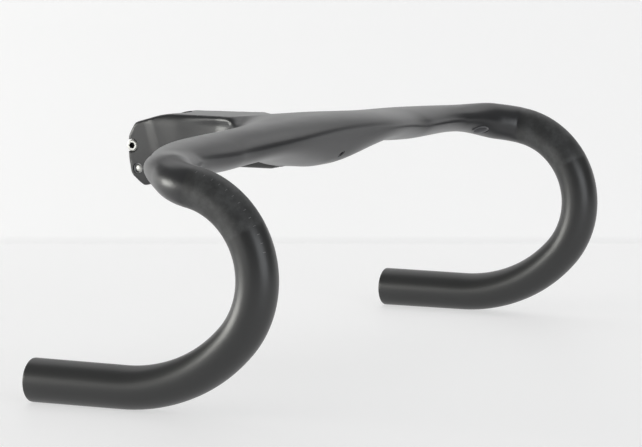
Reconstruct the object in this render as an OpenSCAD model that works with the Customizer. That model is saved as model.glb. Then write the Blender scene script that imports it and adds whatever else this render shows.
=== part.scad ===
// Road drop handlebar with an integrated stem, moulded in carbon.
// The origin is the centre of the steerer clamp. -Y is forward, +X is the rider's left, +Z is up.

/* [Bar] */
// Width between the centres of the two drops
bar_width = 434; // [380:2:460]
// Distance from the middle of the tops forward to the front of the hooks
reach = 78; // [70:1:86]
// Height from the drop ends up to the middle of the tops
drop = 121.3; // [114:0.1:128]
// Height from the seam at the top of the hook up to the middle of the tops
tops_rise = 13.4; // [11:0.2:16]
// Length of the straight part at the end of each drop
drop_straight = 56; // [40:1:70]
// Outer diameter of the drops
tube_od = 23.8; // [22.2:0.1:24.2]
// Wall of the carbon tube
tube_wall = 1.9; // [1.6:0.1:2.2]
// How much slimmer in radius each stretch of the hook is than the one below it
tube_step = 0.2; // [0.02:0.02:0.3]

/* [Tops] */
// Front to back width of the tops near the middle
tops_chord = 49.6; // [44:0.2:52]
// Thickness of the tops near the middle
tops_thickness = 18.4; // [17:0.2:20]
// Extra depth of the belly that carries the stem, under the tops
belly_depth = 12; // [10:0.2:14]

/* [Stem] */
// Distance from the steerer axis to the middle of the tops
stem_length = 92.5; // [88:0.5:110]
// Angle by which the stem falls below a square line from the steerer
stem_fall = 7.5; // [5:0.5:9]
// Lean of the steerer axis from upright
steerer_tilt = 16; // [14:0.5:18]
// Diameter of the steerer that the clamp grips
steerer_d = 28.6; // [28.6:0.1:28.8]
// Height of the clamp along the steerer
clamp_height = 38; // [34:1:42]
// Outer diameter of the clamp round the steerer
clamp_od = 37; // [36:0.5:40]
// Width of the slot between the two ears of the clamp
slot_w = 2; // [1:0.5:3]
// Width over the two ears of the clamp
ear_width = 36; // [32:0.4:36]

/* [Clamp bolts] */
// Thread diameter of the clamp bolts
bolt_d = 4; // [4:1:5]
// Diameter of the socket heads
bolt_head_d = 7; // [7:0.1:8]
// Height of the socket heads
bolt_head_h = 4; // [3:0.5:4]
// Size of the hexagon socket across its flats
bolt_hex = 3; // [2.5:0.5:4]
// Distance between the two bolts along the steerer
bolt_spacing = 14; // [12:0.5:16]

/* [Underside cover] */
// Length of the cover front to back
cover_len = 34; // [30:1:36]
// Width of the cover
cover_w = 26; // [22:1:30]
// Thickness of the cover
cover_t = 2.4; // [2:0.2:3]
// Thread diameter of the cover screws
screw_d = 3; // [2.5:0.5:3]

/* [Hidden] */

round_steps = 72;
tube_r = tube_od / 2;
seam_r = tube_r - 3 * tube_step;
half_width = bar_width / 2;
fit_gap = 0.05;
stretch_overlap = 0.1;

// Middle of the tops, seen from the steerer clamp
bar_y = -stem_length * cos(steerer_tilt - stem_fall);
bar_z = stem_length * sin(steerer_tilt - stem_fall);

// The hook is three arcs that touch, from the straight drop up to the seam with the tops
hook_radii = [95, 84, 48];
hook_turns = [0, 24, 48, 168];
hook_height = drop - tops_rise;
arc_rise = [for (i = [0:2]) hook_radii[i] * (cos(hook_turns[i]) - cos(hook_turns[i + 1]))];
arc_run = [for (i = [0:2]) hook_radii[i] * (sin(hook_turns[i + 1]) - sin(hook_turns[i]))];
hook_scale = hook_height / (arc_rise[0] + arc_rise[1] + arc_rise[2]);
front_run = arc_run[0] + arc_run[1] + hook_radii[2] * (1 - sin(hook_turns[2]));
bend_start_y = bar_y - reach + front_run * hook_scale;
drop_end_y = bend_start_y + drop_straight;
drop_z = bar_z - drop;
arc_start = [
    [bend_start_y, drop_z],
    [bend_start_y - arc_run[0] * hook_scale, drop_z + arc_rise[0] * hook_scale],
    [bend_start_y - (arc_run[0] + arc_run[1]) * hook_scale, drop_z + (arc_rise[0] + arc_rise[1]) * hook_scale]];
seam_turn = 180 - hook_turns[3];
seam = [half_width, arc_start[2][0] - arc_run[2] * hook_scale, drop_z + hook_height];
seam_dir = [0, cos(seam_turn), sin(seam_turn)];

// Stations of the tops from the middle out to the seam:
// [x, y, z] of the centre, then half the chord and half the thickness
stations = [
    [[0, bar_y, bar_z - 0.8], tops_chord / 2 - 0.6, tops_thickness / 2 - 0.4],
    [[0.286 * half_width, bar_y + 1.4, bar_z - 3.2], tops_chord / 2, tops_thickness / 2 - 0.1],
    [[0.55 * half_width, bar_y + 6.3, bar_z - 6.5], tops_chord / 2 - 0.3, tops_thickness / 2 + 0.6],
    [[0.824 * half_width, bar_y - 6.8, bar_z - 6.5], 15.1, 8.3],
    [[0.956 * half_width, bar_y - 24.1, bar_z - 10], 12.1, 11.2],
    [seam, seam_r, seam_r]];
last_station = len(stations) - 1;
ring_points = 24;
belly_edge = 94;
belly_full = 4;
belly_power = 1.3;
fairing_len = 16;
socket_edge = 0.375;
socket_wall = 0.04;
socket_depth = 13;
socket_y = bar_y + socket_depth;
seam_reach = 17;
station_steps = concat([for (i = [0:19]) last_station - i / 5], [1, 0.85, 0.7, 0.55, 0.47,
    socket_edge + socket_wall + 0.001, socket_edge + socket_wall, socket_edge + 0.001, socket_edge, 0.18]);
ring_steps = concat([for (s = station_steps) s], [0], [for (i = [len(station_steps) - 1:-1:0]) -station_steps[i]]);

// Stem
bore_r = steerer_d / 2;
clamp_r = clamp_od / 2;
ear_x = ear_width / 2;
ear_back = bore_r + 8.3;
ear_top_cut = 9.5;
ear_bevel = 2.5;
ear_bevel_drop = 7;
ear_face_drop = 14.7;
ear_top_lean = 0.3;
ear_low_lean = 2.1;
ear_low_cut = 3.8;
ear_low_rise = 9;
ear_spare = 4;
bolt_b = bore_r + 5;
bolt_sink = 1.1;
bolt_hole_r = bolt_d / 2 + 0.25;
top_z = bar_z + 6.2;
top_rise = 1.4;
top_flat_y = -48;
belly_z = bar_z - tops_thickness / 2 - belly_depth - 0.1;
cut_below = 12;
hatch_half = 9;
stem_side_x = 21.8;
stem_flare = 0.5;
stem_floor = 4.4;
stem_wall = 3;
cavity_inset = 1.4;
cavity_rear_y = -24;

// Clamp hardware
counterbore_r = bolt_head_d / 2 + 0.8;
washer_r = counterbore_r - 0.4;
washer_t = 0.8;
seat_x = ear_x - bolt_head_h - washer_t - 0.6;
nut_r = 3.2;
hex_depth = 2.4;
nut_len = 7;
nut_outer_x = ear_x - 1.2;
bolt_tip_x = nut_outer_x - 0.6;

// Underside cover
cover_front_y = socket_y + 6;
cover_rear_y = cover_front_y + cover_len;
cover_gap = 0.2;
cover_proud = 2.8;
pad_len = 7;
pad_cap = 1.6;
screw_inset = 3.6;
screw_y = [cover_front_y + screw_inset, cover_rear_y - screw_inset];
screw_r = screw_d / 2;
screw_head_r = screw_d;
screw_head_h = 1.6;
screw_len = 8;
screw_hex = 2;
screw_hex_depth = 1.2;
insert_r = screw_r + 1;
insert_len = 6;
port_r = 4.6;
port_wall = 1.2;
port_lip = 0.9;
port_y = cover_rear_y + 8.4;

// Cable ports in the bends, on the lower front side of the tops
port_spot = [0.866 * half_width, bar_y - 22.4, bar_z - 14.5];
port_out = [-0.276, -0.468, -0.838];
bend_port_r = 4;
bend_port_wall = 1;
bend_port_depth = 3.2;
port_cut = 8;

// Accessory insert in the nose of the belly
insert_spot = [0, bar_y - 18.17, bar_z - 14.29];
insert_tilt = 46;
accessory_r = 1.5;
accessory_len = 8;

// Spigots bonded inside the seams between the tops and the drops
spigot_turn = 12;
spigot_wall = 1.6;
spigot_slim = 0.95;
spigot_len = 6;

// A point of a smooth curve through four values, at t between the middle two
function smooth_curve(p0, p1, p2, p3, t) = 0.5 * (2 * p1 + (p2 - p0) * t
    + (2 * p0 - 5 * p1 + 4 * p2 - p3) * t ^ 2 + (3 * p1 - p0 - 3 * p2 + p3) * t ^ 3);
function flip_x(p) = [-p[0], p[1], p[2]];
function outer_guide() = stations[last_station - 1][0] - 2 * seam_reach * seam_dir;
function centre_at(i) = i < 0 ? flip_x(stations[-i][0]) : i > last_station ? outer_guide() : stations[i][0];
function size_at(i, k) = stations[min(abs(i), last_station)][k];
function cell(u) = min(floor(u), last_station - 1);
function path_at(u) = let (i = cell(u), t = u - i)
    smooth_curve(centre_at(i - 1), centre_at(i), centre_at(i + 1), centre_at(i + 2), t);
function half_at(u, k) = let (i = cell(u), t = u - i)
    size_at(i, k) + (size_at(i + 1, k) - size_at(i, k)) * t * t * (3 - 2 * t);
function unit(v) = v / norm(v);
function heading(u) = u > last_station - 0.01 ? seam_dir
    : u < 0.01 ? [-1, 0, 0] : unit(path_at(u - 0.01) - path_at(u + 0.01));
function ease(t) = let (c = max(0, min(1, t))) c * c * (3 - 2 * c);
function belly_share(x) = ease((belly_edge - x) / (belly_edge - belly_full)) ^ belly_power;

// One ring of the tops, outside (shell = 0) or inside (shell = wall), for u >= 0
function ring_half(u, shell) =
    let (mid = path_at(u), dir = heading(u), side = unit(cross(dir, [0, 0, 1])), up = cross(side, dir),
        share = belly_share(mid[0]), chord = half_at(u, 1) - shell, thick = half_at(u, 2) - shell,
        rear = chord + share * fairing_len, deep = thick + share * belly_depth,
        inside = u <= socket_edge + (shell > 0 ? socket_wall : 0),
        limit = inside ? socket_y - shell : bar_y + 200)
    [for (i = [0:ring_points - 1])
        let (a = 360 * i / ring_points,
            back = cos(a) * (cos(a) > 0 ? rear : chord),
            lift = sin(a) * (sin(a) > 0 ? thick : deep),
            p = mid + side * back + up * lift)
        [p[0], min(p[1], limit), p[2]]];
function ring(u, shell) = u >= 0 ? ring_half(u, shell) : [for (p = ring_half(-u, shell)) flip_x(p)];

module wing_shell() {
    rings = len(ring_steps);
    outside = [for (u = ring_steps) each ring(u, 0)];
    inside = [for (u = ring_steps) each ring(u, tube_wall)];
    shift = rings * ring_points;
    walls = [for (r = [0:rings - 2], i = [0:ring_points - 1])
        let (j = (i + 1) % ring_points, a = r * ring_points + i, b = r * ring_points + j,
            c = a + ring_points, d = b + ring_points)
        each [[a, c, b], [b, c, d], [shift + a, shift + b, shift + c], [shift + b, shift + d, shift + c]]];
    ends = [for (r = [0, rings - 1], i = [0:ring_points - 1])
        let (j = (i + 1) % ring_points, a = r * ring_points + i, b = r * ring_points + j)
        each r == 0 ? [[a, b, shift + a], [b, shift + b, shift + a]]
            : [[a, shift + a, b], [b, shift + a, shift + b]]];
    polyhedron(points = concat(outside, inside), faces = concat(walls, ends), convexity = 6);
}

// Turns +Z to the way out of a cable port
module at_port() {
    translate(port_spot)
        rotate([0, acos(port_out[2]), atan2(port_out[1], port_out[0])])
            children();
}

module at_accessory_insert() {
    translate(insert_spot) rotate([90 + insert_tilt, 0, 0]) children();
}

module wing() {
    color("#2f3032") difference() {
        wing_shell();
        for (side = [0, 1]) mirror([side, 0, 0]) at_port()
            translate([0, 0, -port_cut]) cylinder(r = bend_port_r, h = 2 * port_cut, $fn = round_steps);
        at_accessory_insert()
            translate([0, 0, -accessory_len]) cylinder(r = accessory_r + 1, h = 2 * accessory_len, $fn = round_steps);
    }
}

// Turns the drawing plane to the side view: its X is +Y and its Y is +Z
module side_view() {
    rotate([90, 0, 90]) children();
}

module tube_arc(radius, turn_from, turn_to, start, outer, inner) {
    centre = start + radius * [sin(turn_from), cos(turn_from)];
    translate([0, centre[0], centre[1]]) side_view()
        rotate([0, 0, 270 - turn_to])
            rotate_extrude(angle = turn_to - turn_from, $fn = 2 * round_steps)
                translate([radius, 0]) difference() {
                    circle(r = outer, $fn = round_steps);
                    circle(r = inner, $fn = round_steps);
                }
}

module drop_tube() {
    color("#2c2d2e") translate([half_width, 0, 0]) {
        translate([0, drop_end_y, drop_z]) rotate([90, 0, 0]) difference() {
            cylinder(r = tube_r, h = drop_straight + stretch_overlap, $fn = round_steps);
            translate([0, 0, -1])
                cylinder(r = tube_r - tube_wall, h = drop_straight + 2, $fn = round_steps);
        }
        for (i = [0:2]) {
            outer = tube_r - (i + 1) * tube_step;
            tube_arc(hook_radii[i] * hook_scale, hook_turns[i], hook_turns[i + 1], arc_start[i],
                outer, outer - tube_wall);
        }
    }
}

module left_drop() {
    drop_tube();
}

module right_drop() {
    mirror([1, 0, 0]) drop_tube();
}

// Bonded spigot: a curved length inside the drop and a slimmer straight length inside the tops
module joint_sleeve() {
    spigot_r = seam_r - tube_wall - fit_gap;
    spigot_ri = spigot_r - spigot_wall;
    radius = hook_radii[2] * hook_scale;
    turn = hook_turns[3] - spigot_turn;
    start = arc_start[2] + radius * [sin(hook_turns[2]) - sin(turn), cos(hook_turns[2]) - cos(turn)];
    color("#3a3b3d") {
        translate([half_width, 0, 0]) tube_arc(radius, turn, hook_turns[3], start, spigot_r, spigot_ri);
        translate(seam) rotate([seam_turn - 90, 0, 0]) translate([0, 0, -stretch_overlap]) difference() {
            cylinder(r = spigot_r - spigot_slim, h = spigot_len, $fn = round_steps);
            translate([0, 0, -1]) cylinder(r = spigot_ri + stretch_overlap, h = spigot_len + 2, $fn = round_steps);
        }
    }
}

module left_joint_sleeve() {
    joint_sleeve();
}

module right_joint_sleeve() {
    mirror([1, 0, 0]) joint_sleeve();
}

// Leans the upright axis to the steerer's axis
module on_steerer() {
    rotate([-steerer_tilt, 0, 0]) children();
}

// A side view point from its place behind (b) and above (a) the clamp's centre, along the steerer
function beside_steerer(b, a) = [b * cos(steerer_tilt) + a * sin(steerer_tilt),
    a * cos(steerer_tilt) - b * sin(steerer_tilt)];

module stem_side() {
    half = clamp_height / 2;
    top_b = (half * cos(steerer_tilt) - top_z) / sin(steerer_tilt);
    low_b = (-half * cos(steerer_tilt) - belly_z) / sin(steerer_tilt);
    polygon([beside_steerer(ear_back - ear_top_cut, half),
        beside_steerer(ear_back - ear_bevel, half - ear_bevel_drop),
        beside_steerer(ear_back + ear_top_lean, half - ear_face_drop),
        beside_steerer(ear_back + ear_low_lean, -half + ear_low_rise),
        beside_steerer(ear_back - ear_low_cut, -half), beside_steerer(low_b, -half),
        [socket_y, belly_z], [socket_y, top_z + top_rise], [top_flat_y, top_z], beside_steerer(top_b, half)]);
}

module stem_plan() {
    ear_turn = asin(ear_x / clamp_r);
    edge = concat([[ear_back + ear_spare, ear_x]],
        [for (k = [0:6]) let (a = ear_turn + (90 - ear_turn) * k / 6) clamp_r * [cos(a), sin(a)]],
        [[-clamp_r, clamp_r + stem_flare], [-3 * clamp_r, stem_side_x], [-6 * clamp_r, stem_side_x]]);
    polygon(concat([for (p = edge) [p[1], p[0]]],
        [for (i = [len(edge) - 1:-1:0]) [-edge[i][1], edge[i][0]]]));
}

module stem_block() {
    intersection() {
        side_view() translate([0, 0, -50]) linear_extrude(100) stem_side();
        on_steerer() translate([0, 0, -60]) linear_extrude(120) stem_plan();
    }
}

module stem_cavity() {
    half = stem_side_x - stem_wall - cavity_inset;
    difference() {
        translate([-half, socket_y + stem_wall, belly_z + stem_floor])
            cube([2 * half, cavity_rear_y - socket_y - stem_wall,
                top_z - belly_z - stem_floor - stem_wall]);
        for (y = [cover_front_y, cover_rear_y - pad_len])
            translate([-hatch_half, y, belly_z]) cube([2 * hatch_half, pad_len, cover_t + insert_len + pad_cap]);
    }
}

// Places a bolt's parts: X runs out through the head side of the upper (-1) or lower (1) bolt
module at_bolt(side) {
    on_steerer() translate([0, bolt_b, -side * bolt_spacing / 2 - bolt_sink])
        rotate([0, side * 90, 0]) children();
}

module stem_body() {
    color("#34352f") difference() {
        stem_block();
        on_steerer() cylinder(r = bore_r, h = 2 * clamp_height, center = true, $fn = 2 * round_steps);
        on_steerer() translate([-slot_w / 2, bore_r / 2, -clamp_height])
            cube([slot_w, 2 * ear_back, 2 * clamp_height]);
        for (side = [-1, 1]) at_bolt(side) {
            cylinder(r = bolt_hole_r, h = ear_width, $fn = round_steps);
            translate([0, 0, seat_x]) cylinder(r = counterbore_r, h = ear_width, $fn = round_steps);
            rotate([180, 0, 0]) {
                cylinder(r = bolt_hole_r, h = ear_width, $fn = round_steps);
                translate([0, 0, nut_outer_x - nut_len]) cylinder(r = nut_r, h = ear_width, $fn = round_steps);
            }
        }
        stem_cavity();
        translate([-cover_w / 2 - cover_gap, cover_front_y - cover_gap, belly_z - cut_below])
            cube([cover_w + 2 * cover_gap, cover_len + 2 * cover_gap, cover_t + cut_below]);
        translate([-hatch_half, cover_front_y + pad_len, belly_z - cut_below])
            cube([2 * hatch_half, cover_len - 2 * pad_len, stem_floor + cut_below + 1]);
        for (y = screw_y) translate([0, y, belly_z])
            cylinder(r = insert_r, h = cover_t + insert_len, $fn = round_steps);
        translate([0, port_y, belly_z - cut_below])
            cylinder(r = port_r, h = cut_below + stem_floor + 1, $fn = round_steps);
    }
}

module clamp_bolt(side) {
    head_x = seat_x + washer_t;
    color("#c9cbcc") at_bolt(side) difference() {
        union() {
            translate([0, 0, head_x]) cylinder(d = bolt_head_d, h = bolt_head_h, $fn = round_steps);
            translate([0, 0, -bolt_tip_x]) cylinder(d = bolt_d, h = bolt_tip_x + head_x, $fn = round_steps);
        }
        translate([0, 0, head_x + bolt_head_h - hex_depth])
            cylinder(d = bolt_hex / cos(30), h = bolt_head_h, $fn = 6);
    }
}

module clamp_bolt_upper() {
    clamp_bolt(-1);
}

module clamp_bolt_lower() {
    clamp_bolt(1);
}

module clamp_washer(side) {
    color("#b4b6b8") at_bolt(side) translate([0, 0, seat_x]) difference() {
        cylinder(r = washer_r, h = washer_t, $fn = round_steps);
        translate([0, 0, -1]) cylinder(r = bolt_d / 2 + fit_gap, h = washer_t + 2, $fn = round_steps);
    }
}

module clamp_washer_upper() {
    clamp_washer(-1);
}

module clamp_washer_lower() {
    clamp_washer(1);
}

module clamp_nut(side) {
    color("#8d8f92") at_bolt(side) translate([0, 0, -nut_outer_x]) difference() {
        cylinder(r = nut_r, h = nut_len, $fn = round_steps);
        translate([0, 0, -1]) cylinder(r = bolt_d / 2 + fit_gap, h = nut_len + 2, $fn = round_steps);
    }
}

module clamp_nut_upper() {
    clamp_nut(-1);
}

module clamp_nut_lower() {
    clamp_nut(1);
}

module belly_cover() {
    color("#28292a") difference() {
        translate([-cover_w / 2, cover_front_y, belly_z - cover_proud])
            cube([cover_w, cover_len, cover_proud + cover_t - fit_gap]);
        for (y = screw_y) translate([0, y, belly_z]) {
            translate([0, 0, -1]) cylinder(r = screw_r + 2 * fit_gap, h = cover_t + 2, $fn = round_steps);
            translate([0, 0, -cover_proud - 1])
                cylinder(r = screw_head_r + fit_gap, h = cover_proud + 1 + screw_head_h, $fn = round_steps);
        }
    }
}

module cover_screw(y) {
    color("#3b3c3e") translate([0, y, belly_z]) difference() {
        union() {
            cylinder(r = screw_head_r, h = screw_head_h - fit_gap, $fn = round_steps);
            cylinder(r = screw_r, h = screw_len, $fn = round_steps);
        }
        translate([0, 0, -1]) cylinder(d = screw_hex / cos(30), h = 1 + screw_hex_depth, $fn = 6);
    }
}

module cover_screw_front() {
    cover_screw(screw_y[0]);
}

module cover_screw_rear() {
    cover_screw(screw_y[1]);
}

module cover_insert(y) {
    color("#b08d4f") translate([0, y, belly_z + cover_t]) difference() {
        cylinder(r = insert_r, h = insert_len, $fn = round_steps);
        translate([0, 0, -1]) cylinder(r = screw_r + fit_gap, h = insert_len + 2, $fn = round_steps);
    }
}

module cover_insert_front() {
    cover_insert(screw_y[0]);
}

module cover_insert_rear() {
    cover_insert(screw_y[1]);
}

// Rubber ring with a lip on its inner end; z runs out of the hole
module grommet(outer, inner, depth, lip) {
    difference() {
        union() {
            translate([0, 0, -depth]) cylinder(r = outer, h = depth, $fn = round_steps);
            translate([0, 0, -depth - 1]) cylinder(r = outer + lip, h = 1, $fn = round_steps);
        }
        translate([0, 0, -depth - 2]) cylinder(r = inner, h = depth + 4, $fn = round_steps);
    }
}

module stem_port_grommet() {
    depth = stem_floor + 2;
    color("#1c1c1d") translate([0, port_y, belly_z + stem_floor - depth]) rotate([180, 0, 0])
        grommet(port_r, port_r - port_wall, depth, port_lip);
}

module port_grommet() {
    color("#6b6d6e") at_port() grommet(bend_port_r, bend_port_r - bend_port_wall, bend_port_depth, 0);
}

module left_port_grommet() {
    port_grommet();
}

module right_port_grommet() {
    mirror([1, 0, 0]) port_grommet();
}

// Threaded accessory insert with a flange inside the nose
module accessory_insert() {
    color("#55575a") at_accessory_insert() difference() {
        translate([0, 0, -accessory_len]) cylinder(r = accessory_r + 1, h = accessory_len, $fn = round_steps);
        translate([0, 0, -accessory_len - 1]) cylinder(r = accessory_r, h = accessory_len + 2, $fn = round_steps);
    }
}

wing();
stem_body();
right_drop();
left_drop();
right_joint_sleeve();
left_joint_sleeve();
clamp_bolt_upper();
clamp_bolt_lower();
clamp_washer_upper();
clamp_washer_lower();
clamp_nut_upper();
clamp_nut_lower();
belly_cover();
cover_screw_front();
cover_screw_rear();
cover_insert_front();
cover_insert_rear();
stem_port_grommet();
right_port_grommet();
left_port_grommet();
accessory_insert();
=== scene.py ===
import math
import bpy
import bmesh
import numpy as np
from mathutils import Matrix, Vector


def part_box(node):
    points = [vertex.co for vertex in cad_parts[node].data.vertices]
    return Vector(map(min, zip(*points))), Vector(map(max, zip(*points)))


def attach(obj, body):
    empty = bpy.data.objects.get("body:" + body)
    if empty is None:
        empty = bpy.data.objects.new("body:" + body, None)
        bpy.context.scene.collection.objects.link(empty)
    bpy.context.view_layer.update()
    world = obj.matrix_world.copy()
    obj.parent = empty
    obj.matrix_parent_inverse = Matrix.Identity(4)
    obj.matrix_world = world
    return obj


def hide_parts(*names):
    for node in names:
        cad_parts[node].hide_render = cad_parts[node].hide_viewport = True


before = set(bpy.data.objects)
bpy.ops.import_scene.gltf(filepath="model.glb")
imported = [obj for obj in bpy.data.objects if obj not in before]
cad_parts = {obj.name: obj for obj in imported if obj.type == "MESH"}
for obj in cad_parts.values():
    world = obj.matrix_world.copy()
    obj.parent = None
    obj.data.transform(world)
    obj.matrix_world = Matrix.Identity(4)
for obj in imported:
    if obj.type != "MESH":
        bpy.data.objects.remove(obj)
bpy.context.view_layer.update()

mm = 0.001


def newGroup(name, inputs, outputs):
    tree = bpy.data.node_groups.new(name, "ShaderNodeTree")
    for label, kind, value in inputs:
        socket = tree.interface.new_socket(label, in_out="INPUT", socket_type=kind)
        socket.default_value = value
    for label, kind in outputs:
        tree.interface.new_socket(label, in_out="OUTPUT", socket_type=kind)
    return tree, tree.nodes.new("NodeGroupInput"), tree.nodes.new("NodeGroupOutput")


def addNoise(tree, vector, scale, detail=3.0, rough=0.55):
    noise = tree.nodes.new("ShaderNodeTexNoise")
    noise.inputs["Scale"].default_value = scale
    noise.inputs["Detail"].default_value = detail
    noise.inputs["Roughness"].default_value = rough
    tree.links.new(vector, noise.inputs["Vector"])
    return noise.outputs["Fac"]


def addMath(tree, operation, a, b, clamp=False):
    node = tree.nodes.new("ShaderNodeMath")
    node.operation = operation
    node.use_clamp = clamp
    for i, value in enumerate((a, b)):
        if isinstance(value, (int, float)):
            node.inputs[i].default_value = value
        else:
            tree.links.new(value, node.inputs[i])
    return node.outputs[0]


def addRange(tree, value, fromLow, fromHigh, toLow, toHigh):
    node = tree.nodes.new("ShaderNodeMapRange")
    node.interpolation_type = "SMOOTHSTEP"
    limits = {"From Min": fromLow, "From Max": fromHigh, "To Min": toLow, "To Max": toHigh}
    for label, number in limits.items():
        if isinstance(number, (int, float)):
            node.inputs[label].default_value = number
        else:
            tree.links.new(number, node.inputs[label])
    tree.links.new(value, node.inputs["Value"])
    return node.outputs["Result"]


def makeSurfaceGroup():
    # cloudy shade, fine grain and faint handling marks, as factors round 1
    tree, start, end = newGroup("satinSurface",
        [("Vector", "NodeSocketVector", (0, 0, 0)), ("Cloud Size", "NodeSocketFloat", 30.0),
         ("Cloud Depth", "NodeSocketFloat", 0.1), ("Grain Size", "NodeSocketFloat", 1500.0),
         ("Roughness", "NodeSocketFloat", 0.4), ("Roughness Spread", "NodeSocketFloat", 0.06)],
        [("Shade", "NodeSocketFloat"), ("Roughness", "NodeSocketFloat"), ("Height", "NodeSocketFloat")])
    vector = start.outputs["Vector"]
    clouds = tree.nodes.new("ShaderNodeTexNoise")
    clouds.inputs["Detail"].default_value = 4
    tree.links.new(vector, clouds.inputs["Vector"])
    tree.links.new(start.outputs["Cloud Size"], clouds.inputs["Scale"])
    centred = addMath(tree, "SUBTRACT", clouds.outputs["Fac"], 0.5)
    shade = addMath(tree, "ADD", addMath(tree, "MULTIPLY", centred, start.outputs["Cloud Depth"]), 1.0)
    grain = tree.nodes.new("ShaderNodeTexNoise")
    grain.inputs["Detail"].default_value = 2
    tree.links.new(vector, grain.inputs["Vector"])
    tree.links.new(start.outputs["Grain Size"], grain.inputs["Scale"])
    smudge = addNoise(tree, vector, 55.0, 5.0, 0.6)
    uneven = addMath(tree, "SUBTRACT", smudge, 0.5)
    spread = addMath(tree, "MULTIPLY", uneven, start.outputs["Roughness Spread"])
    tree.links.new(shade, end.inputs["Shade"])
    tree.links.new(addMath(tree, "ADD", spread, start.outputs["Roughness"]), end.inputs["Roughness"])
    tree.links.new(grain.outputs["Fac"], end.inputs["Height"])
    return tree


surfaceGroup = makeSurfaceGroup()


def makeMaterial(name, colour, roughness, metallic=0.0, coat=0.0, cloudSize=30.0, cloudDepth=0.16,
                 grainSize=1500.0, grainDepth=0.02, spread=0.06, specular=0.5):
    material = bpy.data.materials.new(name)
    material.use_nodes = True
    tree = material.node_tree
    shader = tree.nodes["Principled BSDF"]
    coords = tree.nodes.new("ShaderNodeTexCoord")
    group = tree.nodes.new("ShaderNodeGroup")
    group.node_tree = surfaceGroup
    for label, value in (("Cloud Size", cloudSize), ("Cloud Depth", cloudDepth), ("Grain Size", grainSize),
                         ("Roughness", roughness), ("Roughness Spread", spread)):
        group.inputs[label].default_value = value
    tree.links.new(coords.outputs["Object"], group.inputs["Vector"])
    tint = tree.nodes.new("ShaderNodeVectorMath")
    tint.operation = "SCALE"
    tint.inputs[0].default_value = colour
    tree.links.new(group.outputs["Shade"], tint.inputs["Scale"])
    tree.links.new(tint.outputs[0], shader.inputs["Base Color"])
    tree.links.new(group.outputs["Roughness"], shader.inputs["Roughness"])
    bump = tree.nodes.new("ShaderNodeBump")
    bump.inputs["Strength"].default_value = grainDepth
    bump.inputs["Distance"].default_value = 0.0004
    tree.links.new(group.outputs["Height"], bump.inputs["Height"])
    tree.links.new(bump.outputs["Normal"], shader.inputs["Normal"])
    shader.inputs["Metallic"].default_value = metallic
    shader.inputs["Coat Weight"].default_value = coat
    shader.inputs["Coat Roughness"].default_value = 0.3
    shader.inputs["Specular IOR Level"].default_value = specular
    material.diffuse_color = (*colour, 1)
    return material


finish = {
    "carbonSatin": makeMaterial("carbonSatin", (0.016, 0.0165, 0.018), 0.34, coat=0.14, specular=0.6),
    # carbonStem: rougher and uncoated, with its colour a touch lighter than the bar's as painted light for the
    # stem's brighter lit side
    "carbonStem": makeMaterial("carbonStem", (0.019, 0.019, 0.0175), 0.52, specular=0.55),
    "carbonInner": makeMaterial("carbonInner", (0.016, 0.016, 0.017), 0.62, cloudDepth=0.4, grainDepth=0.25),
    "boltSteel": makeMaterial("boltSteel", (0.50, 0.50, 0.48), 0.34, metallic=1.0, grainSize=4000, spread=0.12),
    # near-black painted shade for the walls of the hex sockets, which lie in shade inside the recess
    "socketPaintedShade": makeMaterial("socketPaintedShade", (0.012, 0.012, 0.012), 0.6, metallic=0.3, grainSize=4000),
    "nutSteel": makeMaterial("nutSteel", (0.20, 0.20, 0.21), 0.38, metallic=1.0, grainSize=4000, spread=0.15),
    "coverPlastic": makeMaterial("coverPlastic", (0.030, 0.030, 0.030), 0.45, grainDepth=0.25, grainSize=3500),
    "screwBlack": makeMaterial("screwBlack", (0.045, 0.045, 0.05), 0.35, metallic=0.8, grainSize=4000),
    "insertBrass": makeMaterial("insertBrass", (0.60, 0.43, 0.18), 0.30, metallic=1.0, grainSize=3000),
    "portRubber": makeMaterial("portRubber", (0.014, 0.014, 0.014), 0.7, grainDepth=0.2, grainSize=2500),
    "portLip": makeMaterial("portLip", (0.16, 0.16, 0.165), 0.5, grainDepth=0.12, grainSize=2500),
    "insertAlloy": makeMaterial("insertAlloy", (0.10, 0.10, 0.105), 0.35, metallic=0.9, grainSize=3500),
    "tickPrint": makeMaterial("tickPrint", (0.16, 0.16, 0.16), 0.5, cloudSize=900, cloudDepth=0.7),
}


def addLeverZone(material, zone):
    # the clamp area of the levers has a duller, blotchy coat that stops at a sharp edge
    tree = material.node_tree
    shader = tree.nodes["Principled BSDF"]
    along = tree.nodes.new("ShaderNodeAttribute")
    along.attribute_name = "alongHook"
    coords = tree.nodes.new("ShaderNodeTexCoord")
    ripple = addNoise(tree, coords.outputs["Object"], 160.0, 4.0, 0.7)
    wobble = addMath(tree, "MULTIPLY", ripple, zone["wobble"])
    place = addMath(tree, "ADD", along.outputs["Fac"], wobble)
    rise = addRange(tree, place, zone["start"], zone["start"] + zone["softStart"], 0.0, 1.0)
    fall = addRange(tree, place, zone["end"], zone["end"] + zone["softEnd"], 1.0, 0.0)
    mask = addMath(tree, "MULTIPLY", rise, fall)
    cloud = addNoise(tree, coords.outputs["Object"], 120.0, 6.0, 0.65)
    blotch = addRange(tree, cloud, 0.35, 0.7, zone["dark"], zone["light"])
    old = shader.inputs["Base Color"].links[0].from_socket
    dull = tree.nodes.new("ShaderNodeVectorMath")
    dull.operation = "SCALE"
    tree.links.new(old, dull.inputs[0])
    tree.links.new(blotch, dull.inputs["Scale"])
    mix = tree.nodes.new("ShaderNodeMix")
    mix.data_type = "RGBA"
    tree.links.new(mask, mix.inputs["Factor"])
    tree.links.new(old, mix.inputs[6])
    tree.links.new(dull.outputs[0], mix.inputs[7])
    tree.links.new(mix.outputs[2], shader.inputs["Base Color"])
    oldRough = shader.inputs["Roughness"].links[0].from_socket
    tree.links.new(addMath(tree, "ADD", oldRough, addMath(tree, "MULTIPLY", mask, zone["rougher"])),
                   shader.inputs["Roughness"])


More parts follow.
